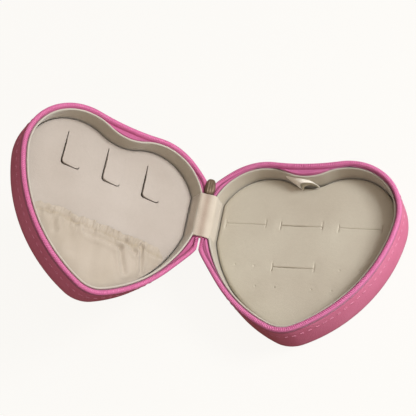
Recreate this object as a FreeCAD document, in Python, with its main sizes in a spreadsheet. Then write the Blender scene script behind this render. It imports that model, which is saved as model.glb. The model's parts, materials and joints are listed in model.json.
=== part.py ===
import FreeCAD, Part
import math
import os
import types
import Sketcher

# Heart-shaped zip-around travel jewellery case, modelled standing open, in millimetres.
# +Z is up and the origin is the middle of the base's underside, on the heart's line of symmetry.
# +Y points to the heart's cleft, the tip is at -Y, and the lid hinges on the -X side.
# Lid pieces are drawn as on the closed case, above the rim, and their placement swings them open.

SIZES = {
    # outline of the leather cover, seen from above
    "heart_width": 120.0,
    "heart_length": 108.5,
    "lobe_radius": 35.0,
    "side_radius": 88.0,
    "tip_radius": 21.0,
    "cover_cleft_radius": 150.0,
    "liner_cleft_radius": 24.0,
    "tray_cleft_radius": 18.0,
    # the hinge: a flat cut into the left lobe, and the fold line just outside it
    "hinge_flat_depth": 2.4,
    "hinge_fold_gap": 0.4,
    "opening_angle": 130.0,
    # heights of the two halves, rim to outside face
    "base_depth": 26.0,
    "lid_depth": 22.0,
    # layers of a half, from the outside inwards
    "cover_skin": 1.0,
    "wall_board": 1.5,
    "liner_gap": 0.6,
    "liner_board": 1.2,
    "end_board": 2.0,
    "lid_foam": 2.0,
    "liner_drop": 2.5,
    "lid_liner_drop": 1.0,
    "floor_lining": 0.5,
    "piece_gap": 0.1,
    # zipper round the rim
    "zipper_band": 5.0,
    "tape_inset": 0.4,
    "tape_thickness": 1.0,
    "coil_height": 1.6,
    "coil_width": 2.0,
    "coil_gap": 0.3,
    # lift-out ring tray
    "tray_clearance": 0.6,
    "tray_drop": 10.0,
    "tray_cushion": 5.0,
    "tray_board": 1.5,
    "tray_rest_gap": 0.3,
    "cushion_round": 1.4,
    "ledge_width": 4.0,
    "ring_slit_length": 25.5,
    "ring_slit_width": 0.8,
    "ring_slit_tick": 4.5,
    "ring_row": 17.0,
    "ring_spacing": 35.0,
    "ring_row_step": 27.0,
    "earring_hole_radius": 0.6,
    "earring_pair": 12.0,
    "earring_spacing": 32.0,
    "earring_row": -23.0,
    "earring_reach": 17.0,
    # ribbon loop that lifts the tray
    "ribbon_width": 10.0,
    "ribbon_thickness": 0.5,
    "ribbon_loop_length": 6.0,
    "ribbon_loop_radius": 2.2,
    # necklace panel in the lid
    "panel_drop": 11.5,
    "panel_board": 2.0,
    "panel_clearance": 0.3,
    "spacer_width": 4.0,
    "tab_width": 11.5,
    "tab_length": 21.0,
    "tab_corner": 2.5,
    "tab_gap": 0.3,
    "tab_top": 40.0,
    "tab_spacing": 26.5,
    # gathered pocket over the tip of the panel
    "pocket_hem": -8.5,
    "pocket_puff": 3.2,
    "pocket_cloth": 0.6,
    "pocket_margin": 0.6,
    "elastic_length": 74.0,
    "elastic_width": 3.0,
    "elastic_thickness": 0.8,
    # hinge strips
    "strip_width": 26.0,
    "strip_thickness": 0.5,
    "spine_thickness": 0.8,
    # slider and pull tab, on the fold line beyond the hinge
    "slider_offset": 5.0,
    "slider_length": 9.0,
    "slider_width": 6.4,
    "slider_plate": 1.0,
    "slider_mouth": 2.4,
    "slider_neck": 1.6,
    "bridge_width": 1.6,
    "bridge_span": 6.4,
    "bridge_height": 2.6,
    "bridge_bar": 0.8,
    "pull_width": 4.8,
    "pull_length": 20.0,
    "pull_thickness": 1.2,
    "pull_window": 4.0,
    "pull_rail": 1.1,
    "pull_bar": 1.0,
}


class Size:
    """A length with the sheet expression that gives it, so sums and differences stay bound to the sheet."""

    def __init__(self, number, text):
        self.number = number
        self.text = text

    def __add__(self, other):
        return Size(self.number + other.number, f"({self.text} + {other.text})")

    def __sub__(self, other):
        return Size(self.number - other.number, f"({self.text} - {other.text})")

    def __mul__(self, factor):
        return Size(self.number * factor, f"({self.text} * {factor})")

    def __truediv__(self, divisor):
        return Size(self.number / divisor, f"({self.text} / {divisor})")

    def __neg__(self):
        return Size(-self.number, f"(-{self.text})")


doc = FreeCAD.newDocument("jewellery_case")
sheet = doc.addObject("Spreadsheet::Sheet", "Sizes")
for row, (alias, number) in enumerate(SIZES.items(), start=1):
    sheet.set(f"A{row}", alias)
    sheet.set(f"B{row}", str(number))
    sheet.setAlias(f"B{row}", alias)
doc.recompute()

s = types.SimpleNamespace(**{alias: Size(number, "Sizes." + alias) for alias, number in SIZES.items()})
zero = s.cover_skin - s.cover_skin
parts = []


# ---------------------------------------------------------------- the heart outline


def heart_centres(cleft):
    """Centres of the right lobe, right side, tip and cleft arcs of the cover's outline."""
    lobe = FreeCAD.Vector(
        s.heart_width.number / 2 - s.lobe_radius.number,
        s.heart_length.number / 2 - s.lobe_radius.number,
        0,
    )
    tip = FreeCAD.Vector(0, s.tip_radius.number - s.heart_length.number / 2, 0)
    lobe_reach = s.side_radius.number - s.lobe_radius.number
    tip_reach = s.side_radius.number - s.tip_radius.number
    between = tip - lobe
    along = (lobe_reach**2 - tip_reach**2 + between.Length**2) / (2 * between.Length)
    across = math.sqrt(lobe_reach**2 - along**2)
    direction = between / between.Length
    side = lobe + direction * along + FreeCAD.Vector(direction.y, -direction.x, 0) * across
    cleft_y = lobe.y + math.sqrt((cleft.number + s.lobe_radius.number) ** 2 - lobe.x**2)
    return lobe, side, tip, FreeCAD.Vector(0, cleft_y, 0)


def hinge_flat_ends(inset):
    """Lower and upper Y of the hinge flat, and whether its lower end is still on the lobe's arc."""
    lobe, side, _, _ = heart_centres(s.cover_cleft_radius)
    flat_x = s.heart_width.number / 2 - s.hinge_flat_depth.number - inset.number
    lobe_radius = s.lobe_radius.number - inset.number
    half = math.sqrt(lobe_radius**2 - (flat_x - lobe.x) ** 2)
    join = side + (lobe - side).normalize() * (s.side_radius.number - inset.number)
    on_lobe = lobe.y - half > join.y
    if on_lobe:
        return lobe.y - half, lobe.y + half, True
    drop = math.sqrt((s.side_radius.number - inset.number) ** 2 - (flat_x - side.x) ** 2)
    return side.y - drop, lobe.y + half, False


def arc(centre, radius, start, end):
    circle = Part.Circle(centre, FreeCAD.Vector(0, 0, 1), radius)
    return Part.ArcOfCircle(circle, start, end)


def angle_to(centre, point):
    return math.atan2(point.y - centre.y, point.x - centre.x)


def bind(sketch, kind, *where):
    """Adds a constraint whose last argument is a Size, and binds it to the sheet."""
    *points, size = where
    index = sketch.addConstraint(Sketcher.Constraint(kind, *points, size.number))
    sketch.setExpression(f"Constraints[{index}]", size.text)


def add_heart(sketch, inset, cleft):
    """Adds one closed heart, moved inwards from the cover's outline by inset.

    Counter-clockwise arcs for the cleft, right lobe, right side, tip and left side, then the straight
    hinge flat and the left lobe. Where the flat's lower end lies on the lobe, a short piece of lobe
    joins it to the side.
    """
    lobe, side, tip, cleft_centre = heart_centres(cleft)
    left_lobe = FreeCAD.Vector(-lobe.x, lobe.y, 0)
    left_side = FreeCAD.Vector(-side.x, side.y, 0)
    cleft_radius = cleft + inset
    lobe_radius = s.lobe_radius - inset
    side_radius = s.side_radius - inset
    tip_radius = s.tip_radius - inset
    flat_x = s.heart_width / 2 - s.hinge_flat_depth - inset
    low, high, low_on_lobe = hinge_flat_ends(inset)
    flat_low = FreeCAD.Vector(-flat_x.number, low, 0)
    flat_high = FreeCAD.Vector(-flat_x.number, high, 0)
    to_cleft = angle_to(lobe, cleft_centre)
    to_side = angle_to(side, lobe)
    to_tip = angle_to(side, tip)
    lower_centre = left_lobe if low_on_lobe else left_side
    side_start = math.pi - to_side if low_on_lobe else angle_to(lower_centre, flat_low)
    shapes = [
        arc(cleft_centre, cleft_radius.number, -to_cleft, to_cleft - math.pi),
        arc(lobe, lobe_radius.number, to_side, to_cleft),
        arc(side, side_radius.number, to_tip, to_side),
        arc(tip, tip_radius.number, -math.pi - to_tip, to_tip),
        arc(left_side, side_radius.number, side_start, math.pi - to_tip),
        Part.LineSegment(flat_high, flat_low),
        arc(left_lobe, lobe_radius.number, math.pi - to_cleft, angle_to(left_lobe, flat_high)),
    ]
    if low_on_lobe:
        shapes.append(arc(left_lobe, lobe_radius.number, angle_to(left_lobe, flat_low), math.pi - to_side))
    g = [sketch.addGeometry(shape, False) for shape in shapes]
    start, end, centre = 1, 2, 3
    tangents = [(0, end, 1, end), (1, start, 2, end), (2, start, 3, end), (3, start, 4, end), (6, start, 0, start)]
    for one, one_end, other, other_end in tangents:
        sketch.addConstraint(Sketcher.Constraint("Tangent", g[one], one_end, g[other], other_end))
    sketch.addConstraint(Sketcher.Constraint("Coincident", g[6], end, g[5], start))
    sketch.addConstraint(Sketcher.Constraint("Vertical", g[5]))
    if low_on_lobe:
        sketch.addConstraint(Sketcher.Constraint("Tangent", g[7], end, g[4], start))
        sketch.addConstraint(Sketcher.Constraint("Coincident", g[7], start, g[5], end))
        sketch.addConstraint(Sketcher.Constraint("Coincident", g[7], centre, g[6], centre))
        bind(sketch, "Radius", g[7], lobe_radius)
    else:
        sketch.addConstraint(Sketcher.Constraint("Coincident", g[4], start, g[5], end))
        sketch.addConstraint(Sketcher.Constraint("Horizontal", g[2], centre, g[4], centre))
    radii = [cleft_radius, lobe_radius, side_radius, tip_radius, side_radius]
    for index, radius in enumerate(radii):
        bind(sketch, "Radius", g[index], radius)
    bind(sketch, "Radius", g[6], lobe_radius)
    lobe_x = s.heart_width / 2 - s.lobe_radius
    lobe_y = s.heart_length / 2 - s.lobe_radius
    bind(sketch, "DistanceX", -1, 1, g[1], centre, lobe_x)
    bind(sketch, "DistanceY", -1, 1, g[1], centre, lobe_y)
    bind(sketch, "DistanceX", g[6], centre, -1, 1, lobe_x)
    bind(sketch, "DistanceY", -1, 1, g[6], centre, lobe_y)
    sketch.addConstraint(Sketcher.Constraint("PointOnObject", g[3], centre, -2))
    bind(sketch, "DistanceY", g[3], centre, -1, 1, s.heart_length / 2 - s.tip_radius)
    bind(sketch, "DistanceX", g[5], start, -1, 1, flat_x)


# ---------------------------------------------------------------- bodies, sketches and features


def new_body(label, placement=FreeCAD.Placement()):
    body = doc.addObject("PartDesign::Body", label)
    body.Label = label
    body.Placement = placement
    parts.append(body)
    return body


def new_sketch(body, height, role="XY_Plane"):
    """A sketch on one of the body's own origin planes, lifted along the plane's normal by height."""
    sketch = body.newObject("Sketcher::SketchObject", body.Name + "_sketch")
    plane = next(feature for feature in body.Origin.OriginFeatures if feature.Role == role)
    sketch.AttachmentSupport = [(plane, "")]
    sketch.MapMode = "FlatFace"
    sketch.AttachmentOffset = FreeCAD.Placement(FreeCAD.Vector(0, 0, height.number), FreeCAD.Rotation())
    sketch.setExpression("AttachmentOffset.Base.z", height.text)
    return sketch


def pad(body, sketch, length, midplane=False):
    feature = body.newObject("PartDesign::Pad", body.Name + "_pad")
    feature.Profile = sketch
    feature.Length = length.number
    feature.setExpression("Length", length.text)
    if midplane:
        feature.SideType = "Symmetric"
    body.Tip = feature
    doc.recompute()
    return feature


def cut(body, sketch, depth, upwards=False):
    """A pocket along the sketch's normal when upwards, or else against it. It has to remove something."""
    before = body.Tip.Shape.Volume
    feature = body.newObject("PartDesign::Pocket", body.Name + "_pocket")
    feature.Profile = sketch
    feature.Length = depth.number
    feature.setExpression("Length", depth.text)
    feature.Reversed = upwards
    body.Tip = feature
    doc.recompute()
    if feature.Shape.Volume > before - 1e-3:
        raise RuntimeError(f"a pocket in {body.Label} removed nothing")


def round_edges(body, chosen, radius):
    """Rounds every edge of the body that chosen(edge) picks."""
    base = body.Tip
    names = [f"Edge{index}" for index, edge in enumerate(base.Shape.Edges, start=1) if chosen(edge)]
    feature = body.newObject("PartDesign::Fillet", body.Name + "_round")
    feature.Base = (base, names)
    feature.Radius = radius.number
    feature.setExpression("Radius", radius.text)
    body.Tip = feature
    doc.recompute()


def lies_at(height):
    """Picks the edges that lie wholly at one height."""
    return lambda edge: all(abs(vertex.Z - height.number) < 1e-4 for vertex in edge.Vertexes)


def upright_at(y):
    """Picks the edges along Z that stand at one Y."""
    return lambda edge: edge.Length > 0 and all(
        abs(vertex.Y - y.number) < 1e-4 and abs(vertex.X - edge.Vertexes[0].X) < 1e-4
        for vertex in edge.Vertexes
    )


def add_rectangle(sketch, left, bottom, right, top):
    """Adds a rectangle from the four Sizes of its sides, each measured from the sketch's origin."""
    corners = [(left, bottom), (right, bottom), (right, top), (left, top)]
    points = [FreeCAD.Vector(x.number, y.number, 0) for x, y in corners]
    g = [sketch.addGeometry(Part.LineSegment(points[i], points[(i + 1) % 4]), False) for i in range(4)]
    for i in range(4):
        sketch.addConstraint(Sketcher.Constraint("Coincident", g[i], 2, g[(i + 1) % 4], 1))
        sketch.addConstraint(Sketcher.Constraint("Vertical" if i % 2 else "Horizontal", g[i]))
    bind(sketch, "DistanceX", -1, 1, g[0], 1, left)
    bind(sketch, "DistanceY", -1, 1, g[0], 1, bottom)
    bind(sketch, "DistanceX", -1, 1, g[2], 1, right)
    bind(sketch, "DistanceY", -1, 1, g[2], 1, top)


def add_circle(sketch, x, y, radius):
    circle = Part.Circle(FreeCAD.Vector(x.number, y.number, 0), FreeCAD.Vector(0, 0, 1), radius.number)
    index = sketch.addGeometry(circle, False)
    bind(sketch, "Radius", index, radius)
    bind(sketch, "DistanceX", -1, 1, index, 3, x)
    bind(sketch, "DistanceY", -1, 1, index, 3, y)


def heart_plate(label, bottom, top, inset, cleft, placement=FreeCAD.Placement()):
    """A heart-shaped plate between two heights."""
    body = new_body(label, placement)
    sketch = new_sketch(body, bottom)
    add_heart(sketch, inset, cleft)
    pad(body, sketch, top - bottom)
    return body


def heart_ring(label, bottom, top, outer, inner, cleft, placement=FreeCAD.Placement()):
    """A hollow heart-shaped wall between two heights and two insets."""
    body = new_body(label, placement)
    sketch = new_sketch(body, bottom)
    add_heart(sketch, outer, cleft)
    add_heart(sketch, inner, cleft)
    pad(body, sketch, top - bottom)
    return body


# ---------------------------------------------------------------- levels and insets shared by the pieces

rim = s.base_depth
top = s.base_depth + s.lid_depth
board_inset = s.cover_skin
liner_outside = s.cover_skin + s.wall_board + s.liner_gap
liner_inside = liner_outside + s.liner_board
base_floor = s.cover_skin + s.end_board
lid_ceiling = top - s.cover_skin - s.lid_foam - s.end_board
tray_top = rim - s.liner_drop - s.tray_drop
tray_bottom = tray_top - s.tray_cushion - s.tray_board
panel_face = rim + s.lid_liner_drop + s.panel_drop
panel_inset = liner_inside + s.panel_clearance
hinge_x = s.heart_width / 2 - s.hinge_flat_depth
fold_x = hinge_x + s.hinge_fold_gap
flat_low, flat_high, _ = hinge_flat_ends(zero)
flat_middle = (flat_low + flat_high) / 2

fold_line = FreeCAD.Vector(-fold_x.number, 0, rim.number)
along_hinge = FreeCAD.Vector(0, 1, 0)
open_lid = FreeCAD.Placement(
    FreeCAD.Vector(), FreeCAD.Rotation(along_hinge, -s.opening_angle.number), fold_line
)


# ---------------------------------------------------------------- base and lid shells

heart_plate("base_bottom_cover", zero, s.cover_skin, zero, s.cover_cleft_radius)
heart_plate("base_bottom_board", s.cover_skin, base_floor, board_inset, s.cover_cleft_radius)
heart_plate("lid_top_cover", top - s.cover_skin, top, zero, s.cover_cleft_radius, open_lid)
heart_plate(
    "lid_top_foam",
    top - s.cover_skin - s.lid_foam,
    top - s.cover_skin,
    board_inset,
    s.cover_cleft_radius,
    open_lid,
)
heart_plate(
    "lid_top_board",
    lid_ceiling,
    lid_ceiling + s.end_board,
    board_inset,
    s.cover_cleft_radius,
    open_lid,
)

base_wall = (s.cover_skin, rim - s.zipper_band)
lid_wall = (rim + s.zipper_band, top - s.cover_skin)
for half, (low, high), placement in (
    ("base", base_wall, FreeCAD.Placement()),
    ("lid", lid_wall, open_lid),
):
    heart_ring(half + "_wall_cover", low, high, zero, s.cover_skin, s.cover_cleft_radius, placement)

for half, low, high, placement in (
    ("base", base_floor, rim - s.zipper_band, FreeCAD.Placement()),
    ("lid", rim + s.zipper_band, lid_ceiling, open_lid),
):
    heart_ring(
        half + "_wall_board",
        low,
        high,
        board_inset,
        board_inset + s.wall_board,
        s.cover_cleft_radius,
        placement,
    )

for half, low, high, placement in (
    ("base", base_floor, rim - s.liner_drop, FreeCAD.Placement()),
    ("lid", rim + s.lid_liner_drop, lid_ceiling, open_lid),
):
    heart_ring(
        half + "_wall_liner", low, high, liner_outside, liner_inside, s.liner_cleft_radius, placement
    )


# ---------------------------------------------------------------- zipper, cut away along the hinge


def zipper_ring(label, low, high, outer, inner, placement):
    """A zipper band round the rim, left out along the hinge and where the slider sits."""
    body = heart_ring(label, low, high, outer, inner, s.cover_cleft_radius, placement)
    gap = new_sketch(body, high)
    hinge_side = -s.heart_width / 2 - s.cover_skin
    inner_side = -(hinge_x - s.zipper_band * 3)
    first = Size(flat_low, repr(flat_low)) - s.cover_skin
    last = Size(flat_high, repr(flat_high)) + s.slider_offset + s.slider_length / 2 + s.coil_gap
    add_rectangle(gap, hinge_side, first, inner_side, last)
    cut(body, gap, high - low)


tape = (s.tape_inset, s.tape_inset + s.tape_thickness)
coil = (zero, s.coil_width)
coil_near = rim - s.coil_gap / 2
coil_far = rim + s.coil_gap / 2
for half, tape_levels, coil_levels, placement in (
    (
        "base",
        (rim - s.zipper_band, coil_near - s.coil_height),
        (coil_near - s.coil_height, coil_near),
        FreeCAD.Placement(),
    ),
    (
        "lid",
        (coil_far + s.coil_height, rim + s.zipper_band),
        (coil_far, coil_far + s.coil_height),
        open_lid,
    ),
):
    zipper_ring(half + "_zipper_tape", *tape_levels, *tape, placement)
    zipper_ring(half + "_zipper_coil", *coil_levels, *coil, placement)


# ---------------------------------------------------------------- inside the base

floor_inset = liner_inside + s.piece_gap
heart_plate("base_floor_lining", base_floor, base_floor + s.floor_lining, floor_inset, s.liner_cleft_radius)
heart_ring(
    "tray_ledge",
    base_floor + s.floor_lining,
    tray_bottom - s.tray_rest_gap,
    floor_inset,
    floor_inset + s.ledge_width,
    s.liner_cleft_radius,
)

tray_inset = liner_inside + s.tray_clearance
heart_plate("ring_tray_board", tray_bottom, tray_bottom + s.tray_board, tray_inset, s.tray_cleft_radius)
cushion = heart_plate(
    "ring_tray_cushion", tray_bottom + s.tray_board, tray_top, tray_inset, s.tray_cleft_radius
)
round_edges(cushion, lies_at(tray_top), s.cushion_round)

# three ring slits in a row, one below, each an H lying on its side, cut in turn through the cushion
slit_places = [(-s.ring_spacing, s.ring_row), (zero, s.ring_row), (s.ring_spacing, s.ring_row)]
slit_places.append((zero, s.ring_row - s.ring_row_step))
slits = new_sketch(cushion, tray_top)
ticks = new_sketch(cushion, tray_top)
half_slit = s.ring_slit_length / 2
half_width = s.ring_slit_width / 2
for x, y in slit_places:
    add_rectangle(slits, x - half_slit, y - half_width, x + half_slit, y + half_width)
    for end in (x - half_slit, x + half_slit):
        add_rectangle(
            ticks,
            end - half_width,
            y - s.ring_slit_tick / 2,
            end + half_width,
            y + s.ring_slit_tick / 2,
        )
cut(cushion, slits, s.tray_cushion)
cut(cushion, ticks, s.tray_cushion)

holes = new_sketch(cushion, tray_top)
middle_row = s.ring_row - s.ring_row_step
for side in (-1, 1):
    for offset in (-0.5, 0.5):
        x = s.earring_spacing * side + s.earring_pair * offset
        add_circle(holes, x, middle_row, s.earring_hole_radius)
        x = s.earring_reach * side + s.earring_pair * offset
        add_circle(holes, x, s.earring_row, s.earring_hole_radius)
cut(cushion, holes, s.tray_cushion)


def cleft_bottom(inset, cleft):
    """Y of the lowest point of a heart's cleft."""
    _, _, _, centre = heart_centres(cleft)
    return centre.y - cleft.number - inset.number


def add_slot(sketch, x, low, high, radius):
    """An upright slot: two half circles joined by straight sides."""
    bottom = FreeCAD.Vector(x.number, low.number, 0)
    upper = FreeCAD.Vector(x.number, high.number, 0)
    side = FreeCAD.Vector(radius.number, 0, 0)
    g = [
        sketch.addGeometry(shape, False)
        for shape in (
            arc(upper, radius.number, 0, math.pi),
            Part.LineSegment(upper - side, bottom - side),
            arc(bottom, radius.number, math.pi, 2 * math.pi),
            Part.LineSegment(bottom + side, upper + side),
        )
    ]
    for i in range(4):
        sketch.addConstraint(Sketcher.Constraint("Tangent", g[i], 2, g[(i + 1) % 4], 1))
    bind(sketch, "Radius", g[0], radius)
    bind(sketch, "DistanceX", -1, 1, g[0], 3, x)
    bind(sketch, "DistanceY", -1, 1, g[0], 3, high)
    bind(sketch, "DistanceX", -1, 1, g[2], 3, x)
    bind(sketch, "DistanceY", -1, 1, g[2], 3, low)


# the ribbon is a closed loop that stands on the cushion at its cleft and is as wide as it is along X
ribbon = new_body("ribbon_loop")
loop = new_sketch(ribbon, zero, "YZ_Plane")
cleft_y = cleft_bottom(tray_inset, s.tray_cleft_radius)
loop_y = Size(cleft_y, repr(cleft_y)) - s.cushion_round - s.ribbon_loop_radius
loop_low = tray_top + s.piece_gap + s.ribbon_loop_radius
loop_high = loop_low + s.ribbon_loop_length
add_slot(loop, loop_y, loop_low, loop_high, s.ribbon_loop_radius)
add_slot(loop, loop_y, loop_low, loop_high, s.ribbon_loop_radius - s.ribbon_thickness)
pad(ribbon, loop, s.ribbon_width, midplane=True)


# ---------------------------------------------------------------- inside the lid

panel = heart_plate(
    "necklace_panel",
    panel_face,
    panel_face + s.panel_board,
    panel_inset,
    s.liner_cleft_radius,
    open_lid,
)
windows = new_sketch(panel, panel_face + s.panel_board)
tab_places = [s.tab_spacing, zero, -s.tab_spacing]
half_window = s.tab_width / 2 + s.tab_gap
for x in tab_places:
    add_rectangle(
        windows,
        x - half_window,
        s.tab_top - s.tab_length - s.tab_gap,
        x + half_window,
        s.tab_top + s.tab_gap,
    )
cut(panel, windows, s.panel_board)

heart_ring(
    "panel_spacer",
    panel_face + s.panel_board,
    lid_ceiling,
    panel_inset,
    panel_inset + s.spacer_width,
    s.liner_cleft_radius,
    open_lid,
)

for number, x in enumerate(tab_places, start=1):
    tab = new_body(f"necklace_tab_{number}", open_lid)
    outline = new_sketch(tab, panel_face)
    add_rectangle(
        outline, x - s.tab_width / 2, s.tab_top - s.tab_length, x + s.tab_width / 2, s.tab_top
    )
    pad(tab, outline, s.panel_board)
    round_edges(tab, upright_at(s.tab_top - s.tab_length), s.tab_corner)

# the pocket is a shallow pan of cloth over the tip of the panel, open along its hem
pocket_inset = panel_inset + s.pocket_margin
pocket = heart_plate(
    "pocket_cloth",
    panel_face - s.pocket_puff,
    panel_face,
    pocket_inset,
    s.liner_cleft_radius,
    open_lid,
)
hollow = new_sketch(pocket, panel_face)
add_heart(hollow, pocket_inset + s.pocket_cloth, s.liner_cleft_radius)
cut(pocket, hollow, s.pocket_puff - s.pocket_cloth)
above_hem = new_sketch(pocket, panel_face)
add_rectangle(
    above_hem, -s.heart_width / 2, s.pocket_hem, s.heart_width / 2, s.heart_length / 2
)
cut(pocket, above_hem, s.pocket_puff)

elastic = new_body("pocket_elastic", open_lid)
elastic_outline = new_sketch(elastic, panel_face - s.pocket_puff)
add_rectangle(
    elastic_outline,
    -s.elastic_length / 2,
    s.pocket_hem,
    s.elastic_length / 2,
    s.pocket_hem + s.elastic_width,
)
pad(elastic, elastic_outline, s.elastic_thickness)


# ---------------------------------------------------------------- hinge strips, folded as on the open case


def folded_strip(label, base_half, lid_half, width):
    """A strip across the hinge. Each half is (front face, back face), and each face is a list of points
    of (distance inwards from the fold line, height above the rim), from the strip's end to the fold."""
    half_turn = math.radians(s.opening_angle.number)

    def base_point(inwards, height):
        return FreeCAD.Vector(inwards, 0, height) + fold_line

    def lid_point(inwards, height):
        x = inwards * math.cos(half_turn) + height * math.sin(half_turn)
        z = inwards * math.sin(half_turn) - height * math.cos(half_turn)
        return FreeCAD.Vector(x, 0, z) + fold_line

    base_front, base_back = base_half
    lid_front, lid_back = lid_half
    points = [base_point(*p) for p in base_front] + [lid_point(*p) for p in reversed(lid_front)]
    points += [lid_point(*p) for p in lid_back] + [base_point(*p) for p in reversed(base_back)]
    start = FreeCAD.Vector(0, flat_middle - width / 2, 0)
    wire = Part.makePolygon([point + start for point in points + points[:1]])
    feature = doc.addObject("Part::Feature", label)
    feature.Label = label
    feature.Shape = Part.Face(wire).extrude(FreeCAD.Vector(0, width, 0))
    feature.Placement = FreeCAD.Placement()
    parts.append(feature)


fold_gap = s.hinge_fold_gap.number
spine_in = fold_gap + s.spine_thickness.number
spine_low = -s.zipper_band.number
fold_top = s.piece_gap.number
spine_half = (
    [(spine_in, spine_low), (spine_in, -fold_top), (fold_top, 0.0)],
    [(fold_gap, spine_low), (fold_gap, -fold_gap)],
)
folded_strip("hinge_spine_cover", spine_half, spine_half, s.strip_width.number)

gap = s.piece_gap.number
strip = s.strip_thickness.number


def lining_half(drop):
    """The lining strip on one half, whose liner stops at drop below the rim: up the liner's inside
    face, over its top edge and on to the fold."""
    liner_face = fold_gap + liner_inside.number + gap
    strip_low = -(s.liner_drop + s.tray_drop).number / 2
    over = gap - drop
    front = [
        (liner_face + strip, strip_low),
        (liner_face + strip, over + strip),
        (spine_in + gap + strip, strip),
    ]
    back = [
        (liner_face, strip_low),
        (liner_face, over),
        (spine_in + gap, over),
        (spine_in + gap, gap),
    ]
    return front, back


folded_strip(
    "hinge_lining_strip",
    lining_half(s.liner_drop.number),
    lining_half(s.lid_liner_drop.number),
    s.strip_width.number,
)


# ---------------------------------------------------------------- slider and pull tab

# Both are drawn about the fold line: local Z points into the case along the bisector of the two
# halves, local Y runs along the zipper. Their placement turns them by half the opening angle.
slider_y = Size(flat_high, repr(flat_high)) + s.slider_offset
slider_place = FreeCAD.Placement(
    FreeCAD.Vector(fold_line.x, slider_y.number, fold_line.z),
    FreeCAD.Rotation(along_hinge, 90 - s.opening_angle.number / 2),
)

slider = new_body("zipper_slider", slider_place)
half_length = s.slider_length / 2
half_slider = s.slider_width / 2
plates = new_sketch(slider, s.slider_mouth / 2)
add_rectangle(plates, -half_slider, -half_length, half_slider, half_length)
pad(slider, plates, s.slider_plate)
neck = new_sketch(slider, -s.slider_mouth / 2)
add_rectangle(
    neck, -s.slider_neck / 2, half_length - s.slider_neck * 2, s.slider_neck / 2, half_length
)
pad(slider, neck, s.slider_mouth)
outer_plate = new_sketch(slider, -s.slider_mouth / 2 - s.slider_plate)
add_rectangle(outer_plate, -half_slider, -half_length, half_slider, half_length)
pad(slider, outer_plate, s.slider_plate)
plate_low = s.slider_mouth / 2 + s.slider_plate
bridge_low = -plate_low - s.bridge_height
bridge = new_sketch(slider, bridge_low)
half_bridge = s.bridge_width / 2
half_span = s.bridge_span / 2
add_rectangle(bridge, -half_bridge, -half_span, half_bridge, half_span)
pad(slider, bridge, s.bridge_height)
eye = new_sketch(slider, -plate_low)
add_rectangle(
    eye, -half_bridge * 2, s.bridge_bar - half_span, half_bridge * 2, half_span - s.bridge_bar
)
cut(slider, eye, s.bridge_height - s.bridge_bar)

# the pull tab hangs outwards from the bridge: its top bar passes through the bridge's eye
pull = new_body("zipper_pull_tab", slider_place)
pull_axis = -plate_low - (s.bridge_height - s.bridge_bar) / 2
pull_outline = new_sketch(pull, zero, "XZ_Plane")
half_pull = s.pull_width / 2
pull_top = pull_axis + s.pull_bar / 2
pull_end = pull_top - s.pull_length
add_rectangle(pull_outline, -half_pull, pull_end, half_pull, pull_top)
window_top = pull_top - s.pull_bar
window_side = half_pull - s.pull_rail
add_rectangle(pull_outline, -window_side, window_top - s.pull_window, window_side, window_top)
pad(pull, pull_outline, s.pull_thickness, midplane=True)


# ---------------------------------------------------------------- check every object, then write the parts

doc.recompute()
for item in doc.Objects:
    if "Invalid" in item.State or "Error" in item.State:
        raise RuntimeError(f"{item.Label} did not compute: {item.State}")
for piece in parts:
    if piece.Shape.isNull() or not piece.Shape.isValid() or not piece.Shape.Solids:
        raise RuntimeError(f"{piece.Label} has no valid solid")

os.makedirs("parts", exist_ok=True)
for piece in parts:
    piece.Shape.exportStep(f"parts/{piece.Label}.step")
    print(piece.Label, len(piece.Shape.Solids), round(piece.Shape.Volume, 1))
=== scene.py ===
import json
import math

import bmesh
import bpy
import numpy as np
from mathutils import Matrix, Vector, noise
from mathutils.geometry import delaunay_2d_cdt


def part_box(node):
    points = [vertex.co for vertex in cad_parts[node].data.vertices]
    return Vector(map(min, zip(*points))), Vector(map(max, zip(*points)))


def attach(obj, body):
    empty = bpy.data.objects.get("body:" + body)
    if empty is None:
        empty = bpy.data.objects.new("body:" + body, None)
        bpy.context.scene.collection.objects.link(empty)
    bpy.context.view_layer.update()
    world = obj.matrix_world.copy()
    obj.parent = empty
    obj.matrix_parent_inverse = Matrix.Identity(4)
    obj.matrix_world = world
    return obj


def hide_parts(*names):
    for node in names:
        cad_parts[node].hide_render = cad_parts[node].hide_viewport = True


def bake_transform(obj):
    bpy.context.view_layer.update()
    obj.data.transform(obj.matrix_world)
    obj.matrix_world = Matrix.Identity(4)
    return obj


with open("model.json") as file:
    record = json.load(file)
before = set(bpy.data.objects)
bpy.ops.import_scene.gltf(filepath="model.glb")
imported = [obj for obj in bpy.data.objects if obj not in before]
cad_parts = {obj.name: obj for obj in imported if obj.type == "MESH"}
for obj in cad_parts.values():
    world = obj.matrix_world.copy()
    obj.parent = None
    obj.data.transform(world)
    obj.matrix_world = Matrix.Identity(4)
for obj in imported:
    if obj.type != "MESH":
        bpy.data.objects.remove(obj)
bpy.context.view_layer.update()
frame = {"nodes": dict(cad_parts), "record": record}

# ---------------------------------------------------------------- studio
# A pale sheet under the open case and round it, a soft key light high on its right, a weak fill from
# the front and a sky that is brighter on the right. The camera looks down from the front right, rolled.
scene = bpy.context.scene
scene.view_settings.view_transform = "Standard"

camera_data = bpy.data.cameras.new("camera")
camera_data.lens = 101.84
camera_data.sensor_width = 36
camera_right = Vector((0.92358, 0.18405, -0.33633))
camera_up = Vector((-0.00186, 0.87938, 0.47612))
camera = bpy.data.objects.new("camera", camera_data)
camera.matrix_world = Matrix.Translation((0.21251, -0.28603, 0.59651)) @ Matrix(
    (camera_right, camera_up, camera_right.cross(camera_up))
).transposed().to_4x4()
scene.collection.objects.link(camera)
scene.camera = camera


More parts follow.
